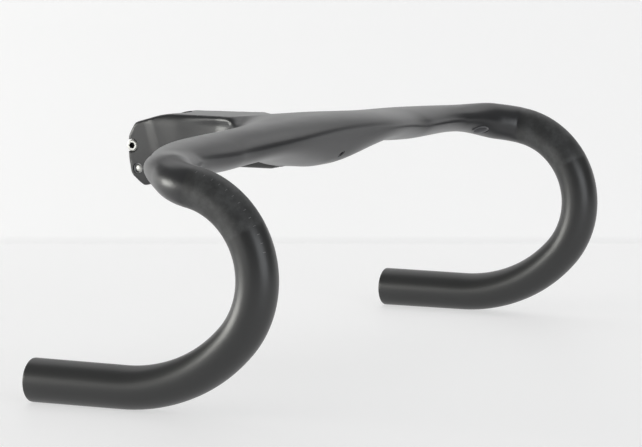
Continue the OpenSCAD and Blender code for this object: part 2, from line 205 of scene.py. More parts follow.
def placeMesh(name, points, faces, material, smooth=True, angle=35.0):
    mesh = bpy.data.meshes.new(name)
    corners = [tuple(p * mm) for p in np.asarray(points, float)]
    mesh.from_pydata(corners, [], [tuple(int(i) for i in f) for f in faces])
    mesh.validate()
    obj = bpy.data.objects.new(name, mesh)
    bpy.context.scene.collection.objects.link(obj)
    mesh.materials.append(material)
    if smooth:
        setSmooth(mesh, angle)
    return obj


def setSmooth(mesh, angle):
    mesh.shade_smooth()
    work = bmesh.new()
    work.from_mesh(mesh)
    limit = math.radians(angle)
    for edge in work.edges:
        edge.smooth = len(edge.link_faces) == 2 and edge.calc_face_angle(0.0) < limit
    work.to_mesh(mesh)
    work.free()


def turnRings(rings, steps, capStart=False, capEnd=False):
    # rings: list of (steps, 3) arrays; returns points and faces of the skin between them
    points = np.concatenate(rings)
    faces = []
    for r in range(len(rings) - 1):
        for i in range(steps):
            j = (i + 1) % steps
            faces.append((r * steps + i, r * steps + j, (r + 1) * steps + j, (r + 1) * steps + i))
    if capStart:
        faces.append(tuple(range(steps - 1, -1, -1)))
    if capEnd:
        last = (len(rings) - 1) * steps
        faces.append(tuple(range(last, last + steps)))
    return points, faces


def latheRings(profile, steps=64, stretch=(1.0, 1.0)):
    angles = np.linspace(0, 2 * np.pi, steps, endpoint=False)
    return [np.stack([r * np.cos(angles) * stretch[0], r * np.sin(angles) * stretch[1],
                      np.full(steps, z)], axis=1) for r, z in profile]


def alignTo(points, spot, out, turn=0.0, along=None):
    # turns local +Z to the direction out, and local +X to along where that is given, then moves to spot
    out = Vector(out).normalized()
    if along is None:
        spin = out.to_track_quat("Z", "Y").to_matrix() @ Matrix.Rotation(turn, 3, "Z")
    else:
        first = (Vector(along) - out * out.dot(Vector(along))).normalized()
        spin = Matrix((first, out.cross(first), out)).transposed()
    return np.asarray(points) @ np.array(spin).T + np.asarray(spot)


def cutWith(target, cutters, operation="DIFFERENCE"):
    for cutter in cutters:
        modifier = target.modifiers.new("cut", "BOOLEAN")
        modifier.operation = operation
        modifier.solver = "MANIFOLD"
        modifier.material_mode = "TRANSFER"
        modifier.object = cutter
    bpy.context.view_layer.update()
    done = bpy.data.meshes.new_from_object(target.evaluated_get(bpy.context.evaluated_depsgraph_get()))
    target.modifiers.clear()
    old = target.data
    target.data = done
    bpy.data.meshes.remove(old)
    for cutter in cutters:
        bpy.data.objects.remove(cutter)
    return target


def roundPlug(name, profile, spot, out, material, steps=64, stretch=(1.0, 1.0), along=None):
    points, faces = turnRings(latheRings(profile, steps, stretch), steps, capStart=True, capEnd=True)
    return placeMesh(name, alignTo(points, spot, out, 0.0, along), faces, material, smooth=False)


# faces of a box given as its lower four corners and then its upper four, each in turn
boxFaces = [(3, 2, 1, 0), (4, 5, 6, 7)] + [(i, (i + 1) % 4, (i + 1) % 4 + 4, i + 4) for i in range(4)]


def boxPlug(name, low, high, material, corner=0.0):
    if corner <= 0:
        points = np.array([(x, y, z) for z in (low[2], high[2]) for x, y in
                           ((low[0], low[1]), (high[0], low[1]), (high[0], high[1]), (low[0], high[1]))], float)
        return placeMesh(name, points, boxFaces, material, smooth=False)
    outline = roundedRectangle((high[0] - low[0]) / 2, (high[1] - low[1]) / 2, corner, 8)
    middle = np.array([(low[0] + high[0]) / 2, (low[1] + high[1]) / 2])
    rings = [np.column_stack([outline + middle, np.full(len(outline), z)]) for z in (low[2], high[2])]
    points, faces = turnRings(rings, len(outline), True, True)
    return placeMesh(name, points, faces, material, smooth=False)


def roundedRectangle(halfX, halfY, corner, steps=8):
    found = []
    for sx, sy, start in ((1, 1, 0), (-1, 1, 90), (-1, -1, 180), (1, -1, 270)):
        for i in range(steps + 1):
            a = math.radians(start + 90 * i / steps)
            found.append((sx * (halfX - corner) + corner * math.cos(a),
                          sy * (halfY - corner) + corner * math.sin(a)))
    return np.array(found)


def finishPiece(obj, body, slotName, *nodes):
    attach(obj, body)
    if nodes:
        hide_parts(*nodes)
    return obj


bar = {
    "middleY": -91.484, "middleZ": 13.672,   # middle of the tops
    "halfWidth": 217.0,
    "seamY": -131.43, "seamZ": 0.27, "seamTurn": 12.0, "seamR": 11.3,
    "overrun": 17,                           # how far the path runs straight on past the seam
    "bellyDepth": 12.0, "bellyEdge": 94.0, "bellyFull": 4.0, "bellyPower": 1.3,
    "rearFairing": 5.0,
}
stem = {
    "tilt": math.radians(16.0), "topZ": 19.87, "topRise": 1.5, "bellyZ": -7.63,
    "halfTall": 19.0, "clampR": 18.5, "earX": 18.0, "earBack": 22.6, "earLean": 0.12,
    "filletR": 26.0, "edgeR": 2.2, "rootLength": 17.0,
    "grooveDepth": 1.3, "boreR": 14.3, "slotWidth": 2.0,
    "boltBack": 19.3, "boltRise": 7.0, "boltDrop": 1.1, "counterboreR": 4.3, "seatX": 12.6,
    "boltHoleR": 2.25, "nutR": 3.2, "nutOuterX": 16.8, "nutLength": 7.0, "washer": 0.8,
}
seamDir = np.array([0.0, math.cos(math.radians(bar["seamTurn"])), math.sin(math.radians(bar["seamTurn"]))])
easing = {"spread": 20, "margin": 120, "rounds": 3, "holdFrom": 110, "holdTo": 30}   # in samples of the path
w = bar["halfWidth"]
barStations = [
    # x, y, z, half chord, half thickness
    (0.0, bar["middleY"], bar["middleZ"] - 0.8, 24.2, 8.8),
    (0.286 * w, bar["middleY"] + 1.4, bar["middleZ"] - 3.2, 24.8, 9.1),
    (0.55 * w, bar["middleY"] + 6.3, bar["middleZ"] - 6.5, 24.5, 9.8),
    (0.824 * w, bar["middleY"] - 6.8, bar["middleZ"] - 6.5, 15.1, 8.3),
    (0.956 * w, bar["middleY"] - 24.1, bar["middleZ"] - 10.0, 12.1, 11.2),
    (w, bar["seamY"], bar["seamZ"], bar["seamR"], bar["seamR"]),
]


def smoothStep(low, high, value):
    t = np.clip((value - low) / (high - low), 0, 1)
    return t * t * (3 - 2 * t)


def softMin(a, b, r):
    return np.maximum(r, np.minimum(a, b)) - np.hypot(np.maximum(r - a, 0), np.maximum(r - b, 0))


def blendMin(a, b, width):
    t = np.clip(0.5 + 0.5 * (b - a) / width, 0, 1)
    return b + (a - b) * t - width * t * (1 - t)


def softMax(parts, r):
    inner = np.minimum(np.max(np.stack(parts), axis=0), -r)
    return inner + np.sqrt(sum(np.maximum(d + r, 0) ** 2 for d in parts))


def samplePath(count=90):
    rows = np.array(barStations)
    first = rows[1] * np.array([-1, 1, 1, 1, 1])
    guide = rows[4].copy()
    guide[:3] = rows[4][:3] - 2 * bar["overrun"] * seamDir
    rows = np.vstack([first, rows, guide])
    found = []
    for i in range(5):
        p0, p1, p2, p3 = rows[i], rows[i + 1], rows[i + 2], rows[i + 3]
        for k in range(count):
            t = k / count
            point = 0.5 * (2 * p1 + (p2 - p0) * t + (2 * p0 - 5 * p1 + 4 * p2 - p3) * t ** 2
                           + (3 * p1 - p0 - 3 * p2 + p3) * t ** 3)
            point[3:] = p1[3:] + (p2[3:] - p1[3:]) * t * t * (3 - 2 * t)
            found.append(point)
    found = np.array(found)
    # eases the bends of the centre line, except close to the seam
    margin, window = easing["margin"], 2 * easing["spread"] + 1
    mirrored = found[1:margin + 1, :3][::-1] * np.array([-1, 1, 1])
    ahead = found[-1, :3] + np.arange(1, margin + 1)[:, None] * (found[-1, :3] - found[-2, :3])
    eased = np.concatenate([mirrored, found[:, :3], ahead])
    kernel = np.ones(window) / window
    for _ in range(easing["rounds"]):
        eased = np.stack([np.convolve(eased[:, k], kernel, "same") for k in range(3)], axis=1)
    eased = eased[margin:-margin]
    last = len(found)
    hold = smoothStep(last - easing["holdFrom"], last - easing["holdTo"], np.arange(last))[:, None]
    found[:, :3] = eased * (1 - hold) + found[:, :3] * hold
    seam = np.array(barStations[5])
    straight = [np.concatenate([seam[:3] - seamDir * k, seam[3:]]) for k in range(bar["overrun"] + 1)]
    return np.vstack([found, straight])


barPath = samplePath()
# slope of the path, so that an upright slice of a round tube is drawn a little taller
pathStep = np.diff(barPath[:, :3], axis=0)
pathStep = np.vstack([pathStep, pathStep[-1]])
pathTall = np.linalg.norm(pathStep, axis=1) / np.maximum(np.hypot(pathStep[:, 0], pathStep[:, 1]), 1e-9)
pathTurn = np.gradient(barPath[:, :2], axis=0)
pathTurn /= np.linalg.norm(pathTurn, axis=1, keepdims=True)
pathValues = np.column_stack([barPath[:, 2], barPath[:, 3], barPath[:, 4] * pathTall])


def nearPath(x, y):
    # place of each (x, y) beside the path: offset to the rear, then z, half chord and half thickness there
    flat, coarse, window, batch = barPath[:, :2], 6, 7, 40000
    rows = np.arange(0, len(flat), coarse)
    out = np.empty((4, len(x)))
    for s in range(0, len(x), batch):
        spot = np.column_stack([x[s:s + batch], y[s:s + batch]])
        rough = rows[((spot[:, None] - flat[None, rows]) ** 2).sum(2).argmin(1)]
        near = np.clip(rough[:, None] + np.arange(-window, window + 1)[None], 0, len(flat) - 1)
        best = near[np.arange(len(spot)), ((spot[:, None] - flat[near]) ** 2).sum(2).argmin(1)]
        ahead = ((spot - flat[best]) * pathTurn[best]).sum(1)
        first = np.clip(np.where(ahead >= 0, best, best - 1), 0, len(flat) - 2)
        g0 = ((spot - flat[first]) * pathTurn[first]).sum(1)
        g1 = ((spot - flat[first + 1]) * pathTurn[first + 1]).sum(1)
        t = np.clip(g0 / np.maximum(g0 - g1, 1e-9), 0, 1)[:, None]
        foot = flat[first] * (1 - t) + flat[first + 1] * t
        turn = pathTurn[first] * (1 - t) + pathTurn[first + 1] * t
        turn /= np.linalg.norm(turn, axis=1, keepdims=True)
        gap = spot - foot
        out[0, s:s + batch] = turn[:, 0] * gap[:, 1] - turn[:, 1] * gap[:, 0]
        out[1:, s:s + batch] = (pathValues[first] * (1 - t) + pathValues[first + 1] * t).T
    return out


def bodyField(x, y, z, near=None):
    # below 0 inside the moulded body, roughly the distance in mm outside
    ax = np.abs(x)
    offset, midZ, chord, thick = nearPath(ax, y) if near is None else near
    share = (1 - smoothStep(bar["bellyFull"], bar["bellyEdge"], ax)) ** bar["bellyPower"]
    rear = chord + share * bar["rearFairing"]
    tilt = stem["tilt"]
    b = y * math.cos(tilt) - z * math.sin(tilt)
    a = y * math.sin(tilt) + z * math.cos(tilt)
    wingEdge = offset - rear
    onStem = smoothStep(0.0, stem["rootLength"], wingEdge)
    half = stem["earX"] + (stem["clampR"] - stem["earX"]) * smoothStep(8, 0, b) + 0.5 * smoothStep(0, 18, -b) \
        + 2.8 * smoothStep(16, 60, -b)
    topZ = stem["topZ"] + stem["topRise"] * smoothStep(-44, -82, y)
    underTop = topZ - z
    groove = stem["grooveDepth"] * smoothStep(1.2, 6.0, underTop) * (1 - smoothStep(6, 24, underTop))
    groove = groove * smoothStep(-8, -40, y) * onStem
    stemEdge = np.maximum(ax - half + groove, -60.0 - y * 0)
    stemEdge = np.where(y < bar["middleY"], np.maximum(stemEdge, bar["middleY"] - y), stemEdge)
    plan = softMin(wingEdge, stemEdge, stem["filletR"])
    # the edge is a half ellipse on the tops and a small radius on the stem
    reachIn = rear * (1 - onStem) + stem["edgeR"] * onStem
    across = np.where(offset < 0, -offset, np.maximum(reachIn + plan, 0))
    width = np.where(offset < 0, chord, reachIn)
    lowPlane = (-stem["halfTall"] - y * math.sin(tilt)) / math.cos(tilt)
    lowStem = blendMin(stem["bellyZ"], lowPlane, 4.0)
    backward = smoothStep(-92, -70, y) * (1 - smoothStep(24, 60, ax))
    upper = thick * (1 - backward) + (topZ - midZ) * backward
    lower = (thick + share * bar["bellyDepth"]) * (1 - backward) + (midZ - lowStem) * backward
    h = z - midZ
    tall = np.where(h > 0, upper, lower)
    k0 = np.sqrt((across / width) ** 2 + (h / tall) ** 2)
    k1 = np.sqrt((across / width ** 2) ** 2 + (h / tall ** 2) ** 2) + 1e-6
    body = k0 * (k0 - 1) / k1
    back = stem["earBack"]
    cuts = [body, a - stem["halfTall"] + 0.4, (b + a - (back - 2.5) - 12) / math.sqrt(2),
            (7 * (b - back + 2.5) + 2.5 * (a - 12)) / 7.433, (b - back + stem["earLean"] * (a - 7)) / 1.009,
            (9 * (b - back - 2.2) - 6 * (a + 10)) / 10.817]
    return np.where(y > -60, softMax(cuts, 1.4), body)


def fieldSlope(field, points, step=0.08):
    slope = np.empty_like(points)
    near = nearPath(np.abs(points[:, 0]), points[:, 1])
    for k in range(3):
        ahead, behind = points.copy(), points.copy()
        ahead[:, k] += step
        behind[:, k] -= step
        same = near if k == 2 else None
        slope[:, k] = (field(*ahead.T, same) - field(*behind.T, same)) / (2 * step)
    return slope


def wrapSkin(field, low, high, cell):
    axes = [np.arange(a, b + cell, cell) for a, b in zip(low, high)]
    shape = tuple(len(a) for a in axes)
    flatXY = np.stack(np.meshgrid(axes[0], axes[1], indexing="ij"), -1).reshape(-1, 2)
    values = np.empty(shape)
    near = nearPath(np.abs(flatXY[:, 0]), flatXY[:, 1])
    for k, z in enumerate(axes[2]):
        values[:, :, k] = field(flatXY[:, 0], flatXY[:, 1], np.full(len(flatXY), z), near).reshape(shape[:2])
    cells = tuple(n - 1 for n in shape)
    total, count = np.zeros((cells[0] * cells[1] * cells[2], 3)), np.zeros(cells[0] * cells[1] * cells[2])
    quads = []
    for axis in range(3):
        o1, o2 = (axis + 1) % 3, (axis + 2) % 3
        ahead = np.moveaxis(values, axis, 0)[1:]
        behind = np.moveaxis(values, axis, 0)[:-1]
        spots = np.argwhere((ahead < 0) != (behind < 0))
        order = [axis] + [k for k in range(3) if k != axis]
        index = np.empty_like(spots)
        for column, k in enumerate(order):
            index[:, k] = spots[:, column]
        keep = (index[:, o1] > 0) & (index[:, o1] < cells[o1]) & (index[:, o2] > 0) & (index[:, o2] < cells[o2])
        index = index[keep]
        after = index.copy()
        after[:, axis] += 1
        fa, fb = values[tuple(index.T)], values[tuple(after.T)]
        crossing = index.astype(float)
        crossing[:, axis] += fa / (fa - fb)
        corners = []
        for d1, d2 in ((-1, -1), (0, -1), (0, 0), (-1, 0)):
            near = index.copy()
            near[:, o1] += d1
            near[:, o2] += d2
            flat = np.ravel_multi_index(near.T, cells)
            np.add.at(total, flat, crossing)
            np.add.at(count, flat, 1)
            corners.append(flat)
        quad = np.stack(corners, 1)
        turned = fa >= 0
        quad[turned] = quad[turned][:, ::-1]
        quads.append(quad)
    used = np.nonzero(count)[0]
    place = np.full(len(count), -1)
    place[used] = np.arange(len(used))
    points = total[used] / count[used, None] * cell + np.array(low)
    for _ in range(3):
        slope = fieldSlope(field, points)
        move = field(*points.T)[:, None] * slope / np.maximum((slope ** 2).sum(1), 1e-3)[:, None]
        reach = np.linalg.norm(move, axis=1, keepdims=True)
        points = points - move * np.minimum(1, 0.8 / np.maximum(reach, 1e-9))
    return points, place[np.concatenate(quads)]


def cutFlat(obj, spot, normal):
    # removes what lies on the side that normal points to, and closes the cut
    work = bmesh.new()
    work.from_mesh(obj.data)
    bmesh.ops.bisect_plane(work, geom=work.verts[:] + work.edges[:] + work.faces[:], dist=1e-7,
                           plane_co=Vector(spot) * mm, plane_no=Vector(normal), clear_outer=True)
    edges = [e for e in work.edges if e.is_boundary]
    bmesh.ops.holes_fill(work, edges=edges, sides=0)
    work.to_mesh(obj.data)
    work.free()


def skinNormals(obj, field, angle=32.0):
    # shading from the body's own slope wherever a corner lies on it
    mesh = obj.data
    setSmooth(mesh, angle)
    count = len(mesh.vertices)
    points = np.empty(count * 3)
    mesh.vertices.foreach_get("co", points)
    points = points.reshape(-1, 3) / mm
    slope = fieldSlope(field, points)
    slope /= np.maximum(np.linalg.norm(slope, axis=1, keepdims=True), 1e-9)
    onSkin = np.abs(field(*points.T)) < 0.06
    corners = np.empty(len(mesh.loops) * 3)
    mesh.corner_normals.foreach_get("vector", corners)
    corners = corners.reshape(-1, 3)
    owner = np.empty(len(mesh.loops), int)
    mesh.loops.foreach_get("vertex_index", owner)
    faceNormals = np.empty(len(mesh.polygons) * 3)
    mesh.polygons.foreach_get("normal", faceNormals)
    faceNormals = faceNormals.reshape(-1, 3)
    sizes = np.empty(len(mesh.polygons), int)
    mesh.polygons.foreach_get("loop_total", sizes)
    faceNormals = np.repeat(faceNormals, sizes, axis=0)
    wanted = slope[owner]
    use = onSkin[owner] & ((wanted * faceNormals).sum(1) > 0.8)
    corners[use] = wanted[use]
    mesh.normals_split_custom_set(corners.tolist())


cell = 1.25
print("wrapping the moulded body")
bodyPoints, bodyFaces = wrapSkin(bodyField, (-231.0, -141.0, -27.5), (231.0, 27.0, 29.0), cell)
bodySkin = placeMesh("bodySkin", bodyPoints, bodyFaces, finish["carbonSatin"], smooth=False)
seamSpot = (bar["halfWidth"], bar["seamY"], bar["seamZ"])
cutFlat(bodySkin, seamSpot, -seamDir)


def onClamp(x, b, a):
    # from the clamp's own frame: b to the rear, a up along the steerer
    t = stem["tilt"]
    return np.array([x, b * math.cos(t) + a * math.sin(t), a * math.cos(t) - b * math.sin(t)])


def boltSpot(side):
    return onClamp(0, stem["boltBack"], -side * stem["boltRise"] - stem["boltDrop"])


clampUp = onClamp(0, 0, 1)
cover = {"frontY": -72.48, "rearY": -38.48, "halfX": 13.0, "thick": 2.4, "proud": 2.8, "corner": 3.0,
         "screwY": (-68.88, -42.08), "gap": 0.2, "cutBelow": 12.0,
         "hatchHalf": 9.0, "hatchInset": 7.0, "hatchDeep": 16.0, "hatchCorner": 2.5}
stemPort = {"y": -30.08, "r": 4.6}
bendPort = {"spot": np.array([187.92, -113.88, -0.83]), "out": np.array([-0.276, -0.468, -0.838]), "r": 4.0,
            "stretch": (1.45, 0.95), "along": np.array([0.857, -0.516, 0.0])}
accessory = {"spot": np.array([0, -109.65, -0.62]), "out": np.array([0, -0.6947, -0.7193]), "r": 2.5}
bendPort["out"] = bendPort["out"] / np.linalg.norm(bendPort["out"])


def bodyCutters():
    dark = finish["carbonInner"]
    far = 40     # past every face of the clamp
    boreR = stem["boreR"]
    cutters = [roundPlug("boreCut", [(boreR, -far), (boreR, far)], (0, 0, 0), clampUp, dark, 128)]
    # chamfers at both mouths of the bore
    for sign in (1, -1):
        mouth = clampUp * sign * (stem["halfTall"] - 0.5)
        cutters.append(roundPlug("mouthCut", [(boreR - 0.4, -0.4), (boreR + 1.6, 1.6)],
                                 mouth, clampUp * sign, dark, 128))
    half = stem["slotWidth"] / 2
    slotPoints = np.array([onClamp(x, b, a) for a in (-far, far) for x, b in
                           ((-half, 10), (half, 10), (half, far), (-half, far))])
    cutters.append(placeMesh("slotCut", slotPoints, boxFaces, dark, smooth=False))
    for side in (-1, 1):
        spot = boltSpot(side)
        out, back = np.array([side, 0, 0]), np.array([-side, 0, 0])
        deep = stem["counterboreR"]
        cutters.append(roundPlug("boltCut", [(stem["boltHoleR"], 0), (stem["boltHoleR"], stem["seatX"]),
                                             (deep, stem["seatX"]), (deep, 30)], spot, out, dark))
        inner = stem["nutOuterX"] - stem["nutLength"]
        pocketR = stem["nutR"] + 0.05
        cutters.append(roundPlug("nutCut", [(stem["boltHoleR"], -0.5), (stem["boltHoleR"], inner),
                                            (pocketR, inner), (pocketR, 30)], spot, back, dark))
    gap, inset, low = cover["gap"], cover["hatchInset"], stem["bellyZ"] - cover["cutBelow"]
    cutters.append(boxPlug("recessCut", (-cover["halfX"] - gap, cover["frontY"] - gap, low),
                           (cover["halfX"] + gap, cover["rearY"] + gap, stem["bellyZ"] + cover["thick"]), dark,
                           cover["corner"]))
    cutters.append(boxPlug("hatchCut", (-cover["hatchHalf"], cover["frontY"] + inset, low),
                           (cover["hatchHalf"], cover["rearY"] - inset, stem["bellyZ"] + cover["hatchDeep"]),
                           dark, cover["hatchCorner"]))
    for y in cover["screwY"]:
        cutters.append(roundPlug("insertCut", [(2.5, -6), (2.5, 8.4)], (0, y, stem["bellyZ"]), (0, 0, 1),
                                 dark, 40))
    portR = stemPort["r"]
    cutters.append(roundPlug("stemPortCut", [(portR + 0.6, -12), (portR + 0.6, 2.0), (portR, 2.6), (portR, 10)],
                             (0, stemPort["y"], stem["bellyZ"] - 1.2), (0, 0, 1), dark))
    for side in (-1, 1):
        flip, bendR = np.array([side, 1, 1]), bendPort["r"]
        cutters.append(roundPlug("bendPortCut", [(bendR, -9), (bendR, 9)], bendPort["spot"] * flip,
                                 bendPort["out"] * flip, dark, 48, bendPort["stretch"],
                                 bendPort["along"] * flip))
    cutters.append(roundPlug("noseCut", [(accessory["r"], -9), (accessory["r"], 6)], accessory["spot"],
                             accessory["out"], dark, 40))
    return cutters


print("cutting the bore, bolt seats, recess and ports")
cutWith(bodySkin, bodyCutters())
stemSkin = bpy.data.objects.new("stem_shell", bodySkin.data.copy())
bpy.context.scene.collection.objects.link(stemSkin)
splitX, splitY = 22.4, bar["middleY"] + 13.0
stemBox = boxPlug("stemBox", (-splitX, splitY, -60), (splitX, 60, 60), finish["carbonStem"])
wingBox = boxPlug("wingBox", (-splitX, splitY, -60), (splitX, 60, 60), finish["carbonStem"])
cutWith(stemSkin, [stemBox], "INTERSECT")
cutWith(bodySkin, [wingBox])
bodySkin.name = "wing_shell"
for piece in (bodySkin, stemSkin):
    skinNormals(piece, bodyField)
finishPiece(bodySkin, "root", "carbon_satin", "wing")
finishPiece(stemSkin, "root", "carbon_stem", "stem_body")
print("body faces", len(bodySkin.data.polygons), len(stemSkin.data.polygons))


dropTube = {"steps": 72, "wall": 1.9, "lip": 0.45, "endY": -34.193, "axisZ": -107.63,
            "radii": (95.0, 84.0, 48.0), "turns": (0.0, 24.0, 48.0, 168.0), "scale": 1.0008, "straight": 56.0,
            "marks": (0, 0.30, 0.62, 0.78, 1.0), "markR": (11.3, 11.3, 11.5, 11.75, 11.9)}
leverZone = {"start": -0.002, "softStart": 0.012, "end": 0.041, "softEnd": 0.002, "wobble": 0.004,
             "dark": 1.2, "light": 3.2, "rougher": 0.14}


def hookPath():
    # points from the seam down to the drop's end as (y, z, turn), with the length run from the seam
    size = dropTube
    y, z = size["endY"] - size["straight"], size["axisZ"]
    rows = [(size["endY"] - 0.001, z, 0.0)]
    rows += [(size["endY"] - s, z, 0.0) for s in np.arange(2.0, size["straight"], 2.0)]
    for radius, start, stop in zip(size["radii"], size["turns"], size["turns"][1:]):
        r = radius * size["scale"]
        centre = (y + r * math.sin(math.radians(start)), z + r * math.cos(math.radians(start)))
        n = max(4, int(abs(stop - start) / 2))
        for k in range(n + 1):
            t = math.radians(start + (stop - start) * k / n)
            rows.append((centre[0] - r * math.sin(t), centre[1] - r * math.cos(t), t))
        y, z = rows[-1][0], rows[-1][1]
    rows = np.array(rows)
    gaps = np.hypot(*np.diff(rows[:, :2], axis=0).T)
    keep = np.concatenate([[True], gaps > 1e-4])
    rows = rows[keep][::-1]
    run = np.concatenate([[0], np.cumsum(np.hypot(*np.diff(rows[:, :2], axis=0).T))])
    return rows, run


hookRows, hookRun = hookPath()
hookLength = hookRun[-1]


def hookRadius(run):
    return np.interp(run, np.array(dropTube["marks"]) * hookLength, dropTube["markR"])


def makeDrop(name, side):
    size = dropTube
    angles = np.linspace(0, 2 * np.pi, size["steps"], endpoint=False)

    def ring(row, r):
        y, z, t = row
        out = np.array([0, -math.sin(t), -math.cos(t)])   # away from the hook's middle
        return np.array([[side * (bar["halfWidth"] + r * math.cos(q)), y + r * math.sin(q) * out[1],
                          z + r * math.sin(q) * out[2]] for q in angles])

    rings, runs = [], []
    for row, s in zip(hookRows, hookRun):
        rings.append(ring(row, hookRadius(s)))
        runs.append(s)
    lip, last = size["lip"], hookRows[-1]
    endR = hookRadius(hookLength)
    for k in range(1, 5):
        a = math.radians(90 * k / 4)
        row = (last[0] - lip + lip * math.sin(a), last[1], last[2])
        rings.append(ring(row, endR - lip + lip * math.cos(a)))
        runs.append(hookLength)
    del rings[len(hookRows) - 1], runs[len(hookRows) - 1]
    rings.insert(len(hookRows) - 1, ring((last[0] - lip, last[1], last[2]), endR))
    runs.insert(len(hookRows) - 1, hookLength)
    for row, s in list(zip(hookRows, hookRun))[::-1]:
        rings.append(ring(row, hookRadius(s) - size["wall"]))
        runs.append(s)
    points, faces = turnRings(rings, size["steps"])
    last = (len(rings) - 1) * size["steps"]
    for i in range(size["steps"]):      # closes the wall at the seam
        j = (i + 1) % size["steps"]
        faces.append((last + i, last + j, j, i))
    if side > 0:
        faces = [f[::-1] for f in faces]
    obj = placeMesh(name, points, faces, finish["carbonSatin"], angle=50)
    mesh = obj.data
    attribute = mesh.attributes.new("alongHook", "FLOAT", "POINT")
    attribute.data.foreach_set("value", (np.repeat(runs, size["steps"]) * mm).astype(np.float32))
    mesh.materials.clear()
    mesh.materials.append(hookFinish)
    mesh.materials.append(finish["carbonInner"])
    innerFrom = (len(hookRows) + 3) * size["steps"]
    for polygon in mesh.polygons:
        if min(polygon.vertices) >= innerFrom:
            polygon.material_index = 1
    return obj


print("sweeping the drops")
hookFinish = makeMaterial("hookSatin", (0.016, 0.0165, 0.0165), 0.37, coat=0.12, specular=0.6)
addLeverZone(hookFinish, leverZone)
for name, side, node in (("right_drop_shell", -1, "right_drop"), ("left_drop_shell", 1, "left_drop")):
    finishPiece(makeDrop(name, side), "root", "carbon_satin", node)


def threadedRings(length, radius, pitch, depth, steps, start=0.0, perPitch=8):
    angles = np.linspace(0, 2 * np.pi, steps, endpoint=False)
    rings = []
    for z in np.arange(start, start + length + 1e-6, pitch / perPitch):
        phase = (z / pitch + angles / (2 * np.pi)) % 1.0
        shape = 1 - np.abs(phase * 2 - 1)
        fade = min(1.0, (z - start) / pitch, (start + length - z) / pitch + 0.2)
        r = radius - depth * np.clip(shape * 1.3 - 0.1, 0, 1) * max(fade, 0)
        rings.append(np.stack([r * np.cos(angles), r * np.sin(angles), np.full(steps, z)], 1))
    return rings


clampBolt = {"d": 4.0, "headD": 7.0, "headH": 4.0, "hex": 3.0, "socket": 2.4, "tip": -16.2, "chamfer": 0.5,
             "pitch": 0.7, "depth": 0.36, "ridges": 36}
coverScrew = {"d": 3.0, "headD": 6.0, "headH": 1.55, "hex": 2.0, "socket": 1.2, "length": 8.0, "pitch": 0.5,
              "depth": 0.26}
washer = {"r": 3.9, "hole": 2.05}
nut = {"r": 3.15, "hole": 2.05, "slotHalf": 0.5, "slotDeep": 1.1, "slotTurn": 0.6}


def hexPlug(name, acrossFlats, low, high, spot, out, material, turn=0.0):
    r = acrossFlats / 2 / math.cos(math.pi / 6)
    points, faces = turnRings(latheRings([(r, low), (r, high), (r + 0.35, high + 0.35)], 6), 6, True, True)
    return placeMesh(name, alignTo(points, spot, out, turn), faces, material, smooth=False)


def makeClampBolt(name, side):
    size = clampBolt
    headX = stem["seatX"] + stem["washer"]
    r, top, c = size["headD"] / 2, headX + size["headH"], size["chamfer"]
    steps = 80
    rings = latheRings([(0.05, size["tip"]), (size["d"] / 2 - 0.7, size["tip"])], steps)
    rings += threadedRings(headX - 5.0 - size["tip"] - 0.3, size["d"] / 2, size["pitch"], size["depth"], steps,
                           size["tip"] + 0.3)
    shankR = size["d"] / 2
    rings += latheRings([(shankR, headX - 4.6), (shankR, headX - 0.3), (shankR + 0.3, headX),
                         (r - 0.25, headX), (r, headX + 0.25), (r, top - c - 0.35), (r - 0.1, top - c)], steps)
    rings += latheRings([(r - 0.1 - c * math.sin(a), top - c + c * (1 - math.cos(a)))
                         for a in (math.radians(30), math.radians(60))], steps)
    rings += latheRings([(r - c - 0.15, top), (0.05, top)], steps)
    points, faces = turnRings(rings, steps, True, True)
    spot = boltSpot(side)
    obj = placeMesh(name, alignTo(points, spot, (side, 0, 0)), faces, finish["boltSteel"], angle=30)
    # the socket's walls take the near-black painted shade
    socket = hexPlug("socketCut", size["hex"], top - size["socket"], top - 0.3, spot, (side, 0, 0),
                     finish["socketPaintedShade"])
    cutWith(obj, [socket])
    setSmooth(obj.data, 30)
    return obj


def newTree(name, sockets):
    tree = bpy.data.node_groups.new(name, "GeometryNodeTree")
    for label, kind in sockets:
        tree.interface.new_socket(label, in_out="INPUT", socket_type=kind)
    tree.interface.new_socket("Geometry", in_out="OUTPUT", socket_type="NodeSocketGeometry")
    return tree, tree.nodes.new("NodeGroupInput"), tree.nodes.new("NodeGroupOutput")


def placeBoxes(tree, start, end, points, box):
    # a box on each point, turned outwards, then made real and painted
    place = tree.nodes.new("GeometryNodeInstanceOnPoints")
    turn = tree.nodes.new("FunctionNodeAlignRotationToVector")
    where = tree.nodes.new("GeometryNodeInputPosition")
    realize = tree.nodes.new("GeometryNodeRealizeInstances")
    paint = tree.nodes.new("GeometryNodeSetMaterial")
    link = tree.links.new
    turn.axis = "X"
    link(where.outputs[0], turn.inputs["Vector"])
    link(points, place.inputs["Points"])
    link(box, place.inputs["Instance"])
    link(turn.outputs[0], place.inputs["Rotation"])
    link(place.outputs[0], realize.inputs[0])
    link(realize.outputs[0], paint.inputs["Geometry"])
    link(start.outputs["Material"], paint.inputs["Material"])
    link(paint.outputs[0], end.inputs[0])


